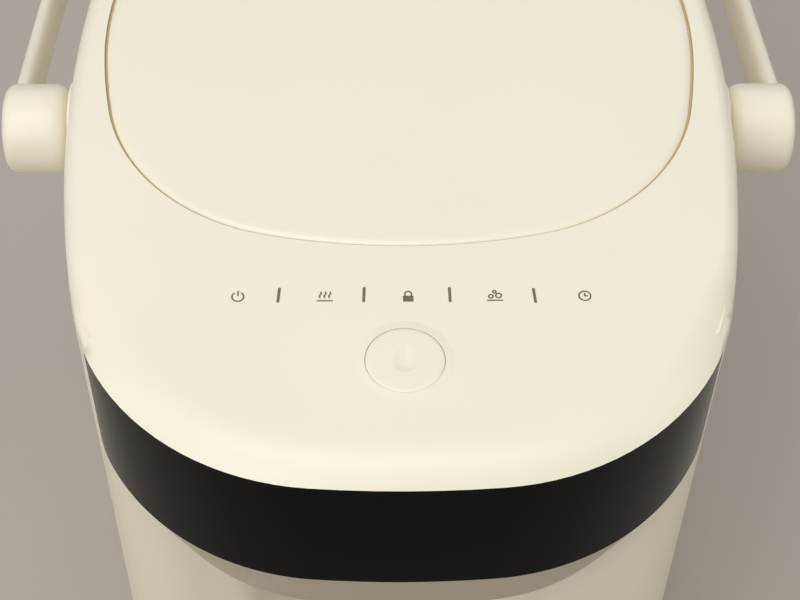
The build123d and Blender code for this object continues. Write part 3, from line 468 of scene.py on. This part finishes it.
def spreadRim(bm):
    # over the band, the tight rounding becomes a long soft slope down to a crisp edge
    small = 0.02 * mm
    rounding, fullY, noneY = frontRim["round"], frontRim["fullY"], frontRim["noneY"]
    wallZ = head["deckZ"] - rounding
    bm.normal_update()
    wall = {vert for vert in bm.verts if abs(vert.co.z - wallZ) < small
            and any(edge.other_vert(vert).co.z > wallZ + small for edge in vert.link_edges)}
    outline = [tuple(edge.verts) for edge in bm.edges if edge.verts[0] in wall and edge.verts[1] in wall]
    moved = []
    for vert in bm.verts:
        height = vert.co.z - wallZ
        if not small < height < rounding + small or vert.co.y > noneY + rounding:
            continue
        turned = math.asin(min(height / rounding, 1.0))
        gap, foot, inward = nearestOnOutline(outline, vert.co.xy)
        if abs(gap - rounding * (1 - math.cos(turned))) > frontRim["slack"]:
            continue
        share = turned / (math.pi / 2)
        place = foot + inward * share * frontRim["reach"]
        z = head["deckZ"] - rounding * (1 - share) ** frontRim["power"]
        spread = softStep((noneY - foot.y) / (noneY - fullY))
        moved.append((vert, vert.co.lerp(Vector((place.x, place.y, z)), spread)))
    for vert, place in moved:
        vert.co = place
    print("rim spread over", len(outline), "stretches, points moved:", len(moved))


def shapeHead(bm):
    raiseCollar(bm)
    spreadRim(bm)


softenedShell("headShell", "head_shell", "pot", "cream", head["edge"], reshape=shapeHead)
print("head shell shaped")

# every node gets its slot's finish, also one that a piece stands for
finishOfSlot = {
    "cream_plastic": "cream", "black_gloss": "gloss", "taupe_plastic": "taupe", "clear_plastic": "clear",
    "grey_plastic": "grey", "dark_plastic": "dark", "pot_steel": "potSteel", "plain_steel": "steel",
    "cast_aluminium": "aluminium", "silicone": "silicone", "foot_rubber": "rubber", "board_green": "board",
    # the lid's tan trim takes the seam's painted shade colour
    "contact_brass": "brass", "jacket_felt": "felt", "tan_plastic": "seam",
}
for part in frame["record"]["subparts"]:
    mesh = frame["nodes"][part["node"]].data
    mesh.materials.clear()
    mesh.materials.append(finishes[finishOfSlot[part["material_slot"]]].material)
print("frame nodes finished")


# the carrying bail with its two hubs

def addedVerts(bm, known):
    # what operators have put in since the known ones were noted
    return [vert for vert in bm.verts if vert not in known]


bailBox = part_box("bail_handle")
bail = {
    "axis": Vector((0.0, -3.0, 296.0)) * mm,
    "tilt": math.radians(12.0),  # below level at rest
    "armPlace": 133.8 * mm,
    "arm": (3.3 * mm, 9.0 * mm),  # half sizes across and upright
    "grip": (8.5 * mm, 11.0 * mm),
    "bend": 70.0 * mm,
    "gripEdge": 1.5 * mm,
    "gripRound": 7.0 * mm,
    "gripHalf": 63.0 * mm,
    "swell": 30.0 * mm,  # length over which an arm grows into the grip
    "groove": (0.45 * mm, 0.7 * mm),  # depth and half width of the ring at each end of the grip
    "squareness": 2.9,  # 2 is an ellipse, more is squarer
    "sectionPoints": 40,
    "steps": {"arm": 4, "bend": 22, "straight": 5, "ring": 4},  # sections along each stretch
    "ringClear": (1.2 * mm, 3.0 * mm),  # nearest plain sections outside and inside a ring
    "middleHalf": 25.0 * mm,
    "hub": {"inner": 114.8 * mm, "outer": bailBox[1].x, "radius": 15.5 * mm, "innerRound": 6.0 * mm,
            "outerRound": 3.5 * mm, "roundSteps": 6, "bore": 4.05 * mm, "boreEnd": 131.3 * mm,
            "capRadius": 9.6 * mm, "capGroove": 0.5 * mm, "steps": 72},
}
backward = Vector((0.0, math.cos(bail["tilt"]), -math.sin(bail["tilt"])))
upward = Vector((0.0, math.sin(bail["tilt"]), math.cos(bail["tilt"])))
lift = (bail["grip"][1] - bail["gripRound"]) * math.sin(bail["tilt"])
levelReach = bailBox[1].y - bail["axis"].y - bail["gripRound"] - lift
bailReach = levelReach / math.cos(bail["tilt"]) - bail["gripEdge"]
armLength = bailReach - bail["bend"]
bendLength = bail["bend"] * math.pi / 2
gripRun = 2 * (bail["armPlace"] - bail["bend"])
railLength = 2 * (armLength + bendLength) + gripRun


def railPoint(run):
    # place and outward direction on the rail, at a length from the left hub's axis
    side = -1.0
    if run > railLength / 2:
        run, side = railLength - run, 1.0
    if run < armLength:
        return side, (bail["armPlace"], run), (1.0, 0.0)
    turned = min((run - armLength) / bail["bend"], math.pi / 2)
    across = bail["armPlace"] - bail["bend"] + bail["bend"] * math.cos(turned)
    back = armLength + bail["bend"] * math.sin(turned)
    return side, (across - max(run - armLength - bendLength, 0.0), back), (math.cos(turned), math.sin(turned))


def railSection(bm, run):
    # one closed ring of the rail, across its line
    side, (across, back), (outX, outBack) = railPoint(run)
    onArm = run < armLength or run > railLength - armLength
    swelled = 0.0 if onArm else softStep((bail["gripHalf"] + bail["swell"] / 2 - across) / bail["swell"])
    fromRing = abs(across - bail["gripHalf"] + bail["swell"] / 2) / bail["groove"][1]
    pinch = bail["groove"][0] * max(0.0, 1 - fromRing ** 2) if swelled > 0.5 else 0.0
    halfOut = bail["arm"][0] + swelled * (bail["grip"][0] - bail["arm"][0]) - pinch
    halfUp = bail["arm"][1] + swelled * (bail["grip"][1] - bail["arm"][1]) - pinch
    centre = bail["axis"] + backward * back + Vector((side * across, 0.0, 0.0))
    outward = Vector((side * outX, 0.0, 0.0)) + backward * outBack
    ring = bmesh.ops.create_circle(bm, segments=bail["sectionPoints"], radius=1.0)["verts"]
    power = 2 / bail["squareness"]
    for vert in ring:
        # a rounded square: both coordinates of a circle raised to a power
        outPart = math.copysign(abs(vert.co.x) ** power, vert.co.x)
        upPart = math.copysign(abs(vert.co.y) ** power, vert.co.y)
        vert.co = centre + outward * (halfOut * outPart) + upward * (halfUp * upPart)
    return [edge for edge in bm.edges if edge.verts[0] in ring and edge.verts[1] in ring]


def railStations():
    # closer together where the rail bends, swells or is grooved
    steps = bail["steps"]
    beforeRing, afterRing = bail["ringClear"]
    ringPlace = railLength / 2 - bail["gripHalf"] + bail["swell"] / 2
    runs = [armLength * step / steps["arm"] for step in range(steps["arm"])]
    runs += [armLength + bendLength * step / steps["bend"] for step in range(steps["bend"] + 1)]
    lastBend = runs[-1]
    straight = ringPlace - beforeRing - lastBend
    runs += [lastBend + straight * (step + 1) / steps["straight"] for step in range(steps["straight"])]
    halfGroove = bail["groove"][1]
    runs += [ringPlace + halfGroove * (step / steps["ring"] - 1) for step in range(2 * steps["ring"] + 1)]
    runs += [ringPlace + afterRing, railLength / 2 - bail["middleHalf"]]
    return runs + [railLength - run for run in reversed(runs)]


def spunHub(bm, side):
    # round hub with a bore for its pivot, rounded at both ends and grooved round its cap
    hub = bail["hub"]
    small = 0.001 * mm
    face, cap, groove = hub["outer"], hub["capRadius"], hub["capGroove"]
    outline = [(hub["boreEnd"], 0.0), (hub["boreEnd"], hub["bore"]), (hub["inner"], hub["bore"]),
               (hub["inner"], hub["radius"]), (face, hub["radius"]), (face, cap + groove),
               (face - groove, cap + groove), (face - groove, cap), (face, cap), (face, 0.0)]
    known = set(bm.verts)
    corners = [bm.verts.new((side * x, 0.0, radius)) for x, radius in outline]
    wire = [bm.edges.new(pair) for pair in zip(corners, corners[1:])]
    bmesh.ops.spin(bm, geom=corners + wire, cent=(0, 0, 0), axis=(1, 0, 0), angle=math.tau,
                   steps=hub["steps"], use_merge=True)
    bmesh.ops.remove_doubles(bm, verts=addedVerts(bm, known), dist=meshing["spinWeld"])
    for x, roundness in ((hub["inner"], hub["innerRound"]), (face, hub["outerRound"])):
        corner = {vert for vert in addedVerts(bm, known)
                  if abs(abs(vert.co.x) - x) < small
                  and abs(math.hypot(vert.co.y, vert.co.z) - hub["radius"]) < small}
        ring = [edge for edge in bm.edges if edge.verts[0] in corner and edge.verts[1] in corner]
        bmesh.ops.bevel(bm, geom=ring, offset=roundness, offset_type="OFFSET", segments=hub["roundSteps"],
                        profile=0.5, affect="EDGES", material=-1)
    bmesh.ops.translate(bm, verts=addedVerts(bm, known), vec=bail["axis"])


bailMesh = bmesh.new()
sections = [railSection(bailMesh, run) for run in railStations()]
for first, second in zip(sections, sections[1:]):
    bmesh.ops.bridge_loops(bailMesh, edges=first + second)
for end in (sections[0], sections[-1]):
    bmesh.ops.holes_fill(bailMesh, edges=end, sides=0)
for side in (-1, 1):
    spunHub(bailMesh, side)
bmesh.ops.recalc_face_normals(bailMesh, faces=bailMesh.faces)
smoothUnder(bailMesh, meshing["spunSharpTurn"])
addPiece("bailHandle", bailMesh, "handle", "cream", ("bail_handle",))
print("bail modelled, rail", round(railLength / mm), "mm long")


# the dispensing button and its spring

button = {
    "centreY": collar["centreY"],
    "radius": 12.03 * mm,
    "faceZ": buttonBox[1].z,
    "edgeRun": 2.2 * mm,  # the rolled edge, in from the side
    "edgeFall": 0.5 * mm,
    "edgeSteps": 6,
    "skirtZ": 312.0 * mm,
    "wall": 1.5 * mm,
    "roofZ": 319.3 * mm,
    "stem": 3.0 * mm,
    "collar": (4.6 * mm, 304.0 * mm, 305.7 * mm),  # radius, bottom and top
    "steps": 112,
    "dropWidth": 7.3 * mm,
    "dropFrom": -4.7 * mm,  # from the button's middle
    "dropTo": 7.4 * mm,
    "dropDepth": 0.65 * mm,
    "dropTaper": 0.7,  # how its sides run to the tip
    "dropFullness": 0.7,
    "dropPoints": 72,
    "dropRings": (1.0, 0.96, 0.88, 0.77, 0.63, 0.46, 0.26, 0.1),  # each ring's share of the outline
    "dropMargin": 1.05,  # a flat ring of the face round the drop
}


def spunButton(bm):
    # hollow cap with a rolled edge, on a stem; its face is left open for the drop
    radius, faceZ, footZ = button["radius"], button["faceZ"], buttonBox[0].z
    inside, (flange, flangeLow, flangeHigh) = radius - button["wall"], button["collar"]
    outline = []
    for step in range(button["edgeSteps"] + 1):
        turn = step / button["edgeSteps"] * math.pi / 2
        outline.append((radius - button["edgeRun"] * (1 - math.sin(turn)),
                        faceZ - button["edgeFall"] * (1 - math.cos(turn))))
    outline += [(radius, button["skirtZ"]), (inside, button["skirtZ"]), (inside, button["roofZ"]),
                (button["stem"], button["roofZ"]), (button["stem"], flangeHigh), (flange, flangeHigh),
                (flange, flangeLow), (button["stem"], flangeLow), (button["stem"], footZ), (0.0, footZ)]
    corners = [bm.verts.new((across, 0.0, z)) for across, z in outline]
    wire = [bm.edges.new(pair) for pair in zip(corners, corners[1:])]
    bmesh.ops.spin(bm, geom=corners + wire, cent=(0, 0, 0), axis=(0, 0, 1), angle=math.tau,
                   steps=button["steps"], use_merge=True)
    bmesh.ops.remove_doubles(bm, verts=bm.verts, dist=meshing["spinWeld"])


def hollowDrop(bm):
    # a ring drawn out to a tip and joined to the face, then stepped inwards and down to a soft hollow
    face = [edge for edge in bm.edges if edge.is_boundary]
    ring = bmesh.ops.create_circle(bm, segments=button["dropPoints"], radius=1.0)["verts"]
    middle = button["dropFrom"] + button["dropWidth"] / 2
    lastShare = button["dropMargin"]
    for vert in ring:
        fromTip = (1 - vert.co.y) / 2
        across = vert.co.x * fromTip ** button["dropTaper"] * button["dropFullness"] * button["dropWidth"]
        along = button["dropTo"] - fromTip * (button["dropTo"] - button["dropFrom"])
        vert.co = (across * lastShare, middle + (along - middle) * lastShare, button["faceZ"])
    edges = [edge for edge in bm.edges if edge.verts[0] in ring and edge.verts[1] in ring]
    bmesh.ops.bridge_loops(bm, edges=face + edges)
    for share in button["dropRings"]:
        lowered = bmesh.ops.extrude_edge_only(bm, edges=edges)["geom"]
        edges = [item for item in lowered if isinstance(item, bmesh.types.BMEdge)]
        for vert in (item for item in lowered if isinstance(item, bmesh.types.BMVert)):
            vert.co.x *= share / lastShare
            vert.co.y = middle + (vert.co.y - middle) * share / lastShare
            vert.co.z = button["faceZ"] - button["dropDepth"] * math.sin((1 - share) * math.pi / 2)
        lastShare = share
    bmesh.ops.holes_fill(bm, edges=edges, sides=0)


buttonMesh = bmesh.new()
spunButton(buttonMesh)
hollowDrop(buttonMesh)
bmesh.ops.translate(buttonMesh, verts=buttonMesh.verts, vec=(0, button["centreY"], 0))
bmesh.ops.recalc_face_normals(buttonMesh, faces=buttonMesh.faces)
smoothUnder(buttonMesh, meshing["spunSharpTurn"])
shadeEvenly(addPiece("dispenseButton", buttonMesh, "button", "cream", ("dispense_button",)))

springPiece = softenedShell("buttonSpring", "button_spring", "pot", "steel", edge=0)
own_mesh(springPiece)
print("button and spring modelled")


# the printed key row on the deck

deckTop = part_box("head_shell")[1].z
printing = {
    "height": 0.05 * mm,  # how far the ink stands out
    "depth": 0.1 * mm,  # how thick it is
    # x and y in mm, and the turn in degrees
    "bars": [(-38.5, -100.3, -4), (-12.3, -100.2, -1.5), (14.1, -100.3, 1.0), (40.2, -100.7, 4.5)],
    "barLength": 6.0 * mm,
    "barWidth": 0.95 * mm,
    "barPoints": 16,
    "stroke": 0.5 * mm,
    "arcStep": 12,  # degrees
    "arcStepsLeast": 6,
    "rowY": -100.9 * mm,
    "signScale": 1.25,
}
signs = {
    # the sign's middle is in mm, and its strokes are in its own scale and degrees:
    # an arc is x, y, radius, start and turn, a bar is x, y, length, turn, and a width if it is thick
    "power": {"x": -51.0, "arcs": [(0, 0, 1.45, 125, 290)], "bars": [(0, 1.05, 1.7, 0)]},
    "warmth": {"x": -24.3,
               "arcs": [(-1.5, 1.0, 0.6, -50, 100), (-0.73, 0.05, 0.6, 130, 100),
                        (-0.35, 1.0, 0.6, -50, 100), (0.42, 0.05, 0.6, 130, 100),
                        (0.8, 1.0, 0.6, -50, 100), (1.57, 0.05, 0.6, 130, 100)],
               "bars": [(0, -1.35, 4.0, 90)]},
    "lock": {"x": 1.3, "arcs": [(0, 0.75, 0.8, 0, 180)],
             "bars": [(-0.8, 0.45, 0.9, 0), (0.8, 0.45, 0.9, 0), (0, -1.37, 2.7, 90, 0.68),
                      (0, -0.75, 2.7, 90, 0.68), (0, -0.13, 2.7, 90, 0.68)]},
    "bubbles": {"x": 28.0,
                "arcs": [(-1.0, -0.1, 0.55, 0, 360), (0.9, 0.15, 0.7, 0, 360), (-0.1, 1.35, 0.4, 0, 360)],
                "bars": [(0, -1.35, 4.0, 90)]},
    "timer": {"x": 55.7, "arcs": [(0, 0, 1.45, 0, 360)], "bars": [(0, 0.4, 1.1, 0), (0.35, -0.02, 1.0, 90)]},
}


def printedArc(bm, centre, radius, start, turn):
    # flat stroke: a short radial edge spun about the centre, angles in degrees
    width = printing["stroke"]
    known = set(bm.verts)
    ends = [bm.verts.new((radius + step * width / 2, 0.0, 0.0)) for step in (-1, 1)]
    geom = ends + [bm.edges.new(ends)]
    bmesh.ops.rotate(bm, verts=ends, cent=(0, 0, 0), matrix=Matrix.Rotation(math.radians(start), 3, "Z"))
    bmesh.ops.spin(bm, geom=geom, cent=(0, 0, 0), axis=(0, 0, 1), angle=math.radians(turn),
                   steps=max(printing["arcStepsLeast"], round(turn / printing["arcStep"])),
                   use_merge=turn == 360)
    bmesh.ops.translate(bm, verts=addedVerts(bm, known), vec=(centre[0], centre[1], 0.0))


def printedBar(bm, centre, length, turn, width=printing["stroke"]):
    # flat bar with round ends, upright unless it is turned
    known = set(bm.verts)
    outline = bmesh.ops.create_circle(bm, cap_ends=True, segments=printing["barPoints"],
                                      radius=width / 2)["verts"]
    for vert in outline:
        vert.co.y += math.copysign((length - width) / 2, vert.co.y)
    bmesh.ops.rotate(bm, verts=outline, cent=(0, 0, 0), matrix=Matrix.Rotation(math.radians(turn), 3, "Z"))
    bmesh.ops.translate(bm, verts=addedVerts(bm, known), vec=(centre[0], centre[1], 0.0))


def addInk(name, bm, into):
    # the flat marks get the ink's thickness, into the surface that they lie on
    lower = bmesh.ops.extrude_face_region(bm, geom=list(bm.faces), use_keep_orig=True)
    moved = [item for item in lower["geom"] if isinstance(item, bmesh.types.BMVert)]
    bmesh.ops.translate(bm, verts=moved, vec=Vector(into) * printing["depth"])
    bmesh.ops.recalc_face_normals(bm, faces=bm.faces)
    addPiece(name, bm, "pot", "ink")


def inkOnDeck(name, bm):
    for face in bm.faces:
        if face.normal.z < 0:
            face.normal_flip()
    bmesh.ops.translate(bm, verts=bm.verts, vec=(0, 0, deckTop + printing["height"]))
    addInk(name, bm, into=(0, 0, -1))


keyBars = bmesh.new()
for x, y, turn in printing["bars"]:
    printedBar(keyBars, (x * mm, y * mm), printing["barLength"], turn, printing["barWidth"])
inkOnDeck("keyBars", keyBars)

keySigns = bmesh.new()
unit = printing["signScale"] * mm
for sign in signs.values():
    middleX, row = sign["x"] * mm, printing["rowY"]
    for x, y, radius, start, turn in sign["arcs"]:
        printedArc(keySigns, (middleX + x * unit, row + y * unit), radius * unit, start, turn)
    for x, y, length, turn, *thick in sign["bars"]:
        width = thick[0] * unit if thick else printing["stroke"]
        printedBar(keySigns, (middleX + x * unit, row + y * unit), length * unit, turn, width)
inkOnDeck("keySigns", keySigns)
print("keys printed")


# the scale beside the level window

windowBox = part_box("level_window")
scale = {
    "hollowRadius": 60.0 * mm,
    "hollowY": -163.5 * mm,  # axis of the hollow in the body's front
    "edgeX": 9.3 * mm,
    "length": 2.6 * mm,
    "longLength": 4.4 * mm,
    "width": 0.55 * mm,
    "steps": 11,
    "longEvery": 5,
    "margin": 10.0 * mm,  # from the window's ends
    "columns": 4,  # faces along a mark, so that it follows the hollow
}
ticks = bmesh.new()
for step in range(scale["steps"]):
    share = step / (scale["steps"] - 1)
    z = windowBox[0].z + scale["margin"] + share * (windowBox[1].z - windowBox[0].z - 2 * scale["margin"])
    length = scale["longLength"] if step % scale["longEvery"] == 0 else scale["length"]
    tick = bmesh.ops.create_grid(ticks, x_segments=scale["columns"], y_segments=1, size=0.5)["verts"]
    for vert in tick:
        x = scale["edgeX"] + (vert.co.x + 0.5) * length
        wallY = scale["hollowY"] + math.sqrt(scale["hollowRadius"] ** 2 - x * x)
        vert.co = (x, wallY - printing["height"], z + vert.co.y * scale["width"])
addInk("levelScale", ticks, into=(0, 1, 0))
print("level scale printed")


# stage, light and camera

studio = {
    "floorHalf": 6.0,
    "floorColour": (180, 173, 164),
    "floorRoughness": 0.9,
    "sky": (0.93, 0.92, 0.9, 1.0),
    "skyStrength": 0.37,
    "lamps": {
        # name: place, what it points at, size, power
        "overheadKey": ((-0.25, -0.4, 1.9), (0, -0.08, 0.32), (1.0, 0.9), 8.0),
        "frontFill": ((-0.85, -1.5, 1.5), (0, 0, 0.25), (1.4, 1.2), 14.5),
        "rearSoft": ((0.15, 1.2, 1.6), (0, 0, 0.3), (1.6, 1.0), 3.5),
        "leftSoft": ((-1.6, -0.3, 1.2), (0, 0, 0.25), (1.0, 1.2), 5),
        "rightSoft": ((1.6, -0.3, 1.1), (0, 0, 0.25), (1.0, 1.2), 6.5),
    },
}


def areaLight(name, place, target, size, power):
    lamp = bpy.data.lights.new(name, "AREA")
    lamp.shape = "RECTANGLE"
    lamp.size, lamp.size_y = size
    lamp.energy = power
    holder = bpy.data.objects.new(name, lamp)
    bpy.context.scene.collection.objects.link(holder)
    holder.location = place
    holder.rotation_euler = (Vector(target) - Vector(place)).to_track_quat("-Z", "Y").to_euler()


floorMesh = bmesh.new()
bmesh.ops.create_grid(floorMesh, x_segments=1, y_segments=1, size=studio["floorHalf"])
floorData = bpy.data.meshes.new("floor")
floorMesh.to_mesh(floorData)
floorMesh.free()
floor = bpy.data.objects.new("floor", floorData)
bpy.context.scene.collection.objects.link(floor)
floorFinish = Finish("floorPaint", studio["floorColour"], studio["floorRoughness"])
floorData.materials.append(floorFinish.material)

world = bpy.data.worlds.new("studio")
world.use_nodes = True
background = world.node_tree.nodes["Background"]
background.inputs["Color"].default_value = studio["sky"]
background.inputs["Strength"].default_value = studio["skyStrength"]
bpy.context.scene.world = world
for name, (place, target, size, power) in studio["lamps"].items():
    areaLight(name, place, target, size, power)

view = {
    "place": (-0.00993, -0.44588, 0.74636),
    "turn": math.radians(1.44982),
    "tip": math.radians(51.0),
    "roll": math.radians(-0.96273),
    "lens": 80.07,
    "sensor": 36.0,
    "nearest": 0.01,
}
ahead = Vector((math.sin(view["turn"]), math.cos(view["turn"]), 0.0))
forward = ahead * math.cos(view["tip"]) - Vector((0.0, 0.0, math.sin(view["tip"])))
level = Vector((math.cos(view["turn"]), -math.sin(view["turn"]), 0.0))
down = forward.cross(level)
right = math.cos(view["roll"]) * level + math.sin(view["roll"]) * down
below = math.cos(view["roll"]) * down - math.sin(view["roll"]) * level
cameraData = bpy.data.cameras.new("camera")
cameraData.sensor_width = view["sensor"]
cameraData.lens = view["lens"]
cameraData.clip_start = view["nearest"]
camera = bpy.data.objects.new("camera", cameraData)
bpy.context.scene.collection.objects.link(camera)
turned = Matrix((right, -below, -forward)).transposed().to_4x4()
camera.matrix_world = Matrix.Translation(view["place"]) @ turned
bpy.context.scene.camera = camera
bpy.context.scene.view_settings.view_transform = "Standard"
print("stage, lights and camera placed")
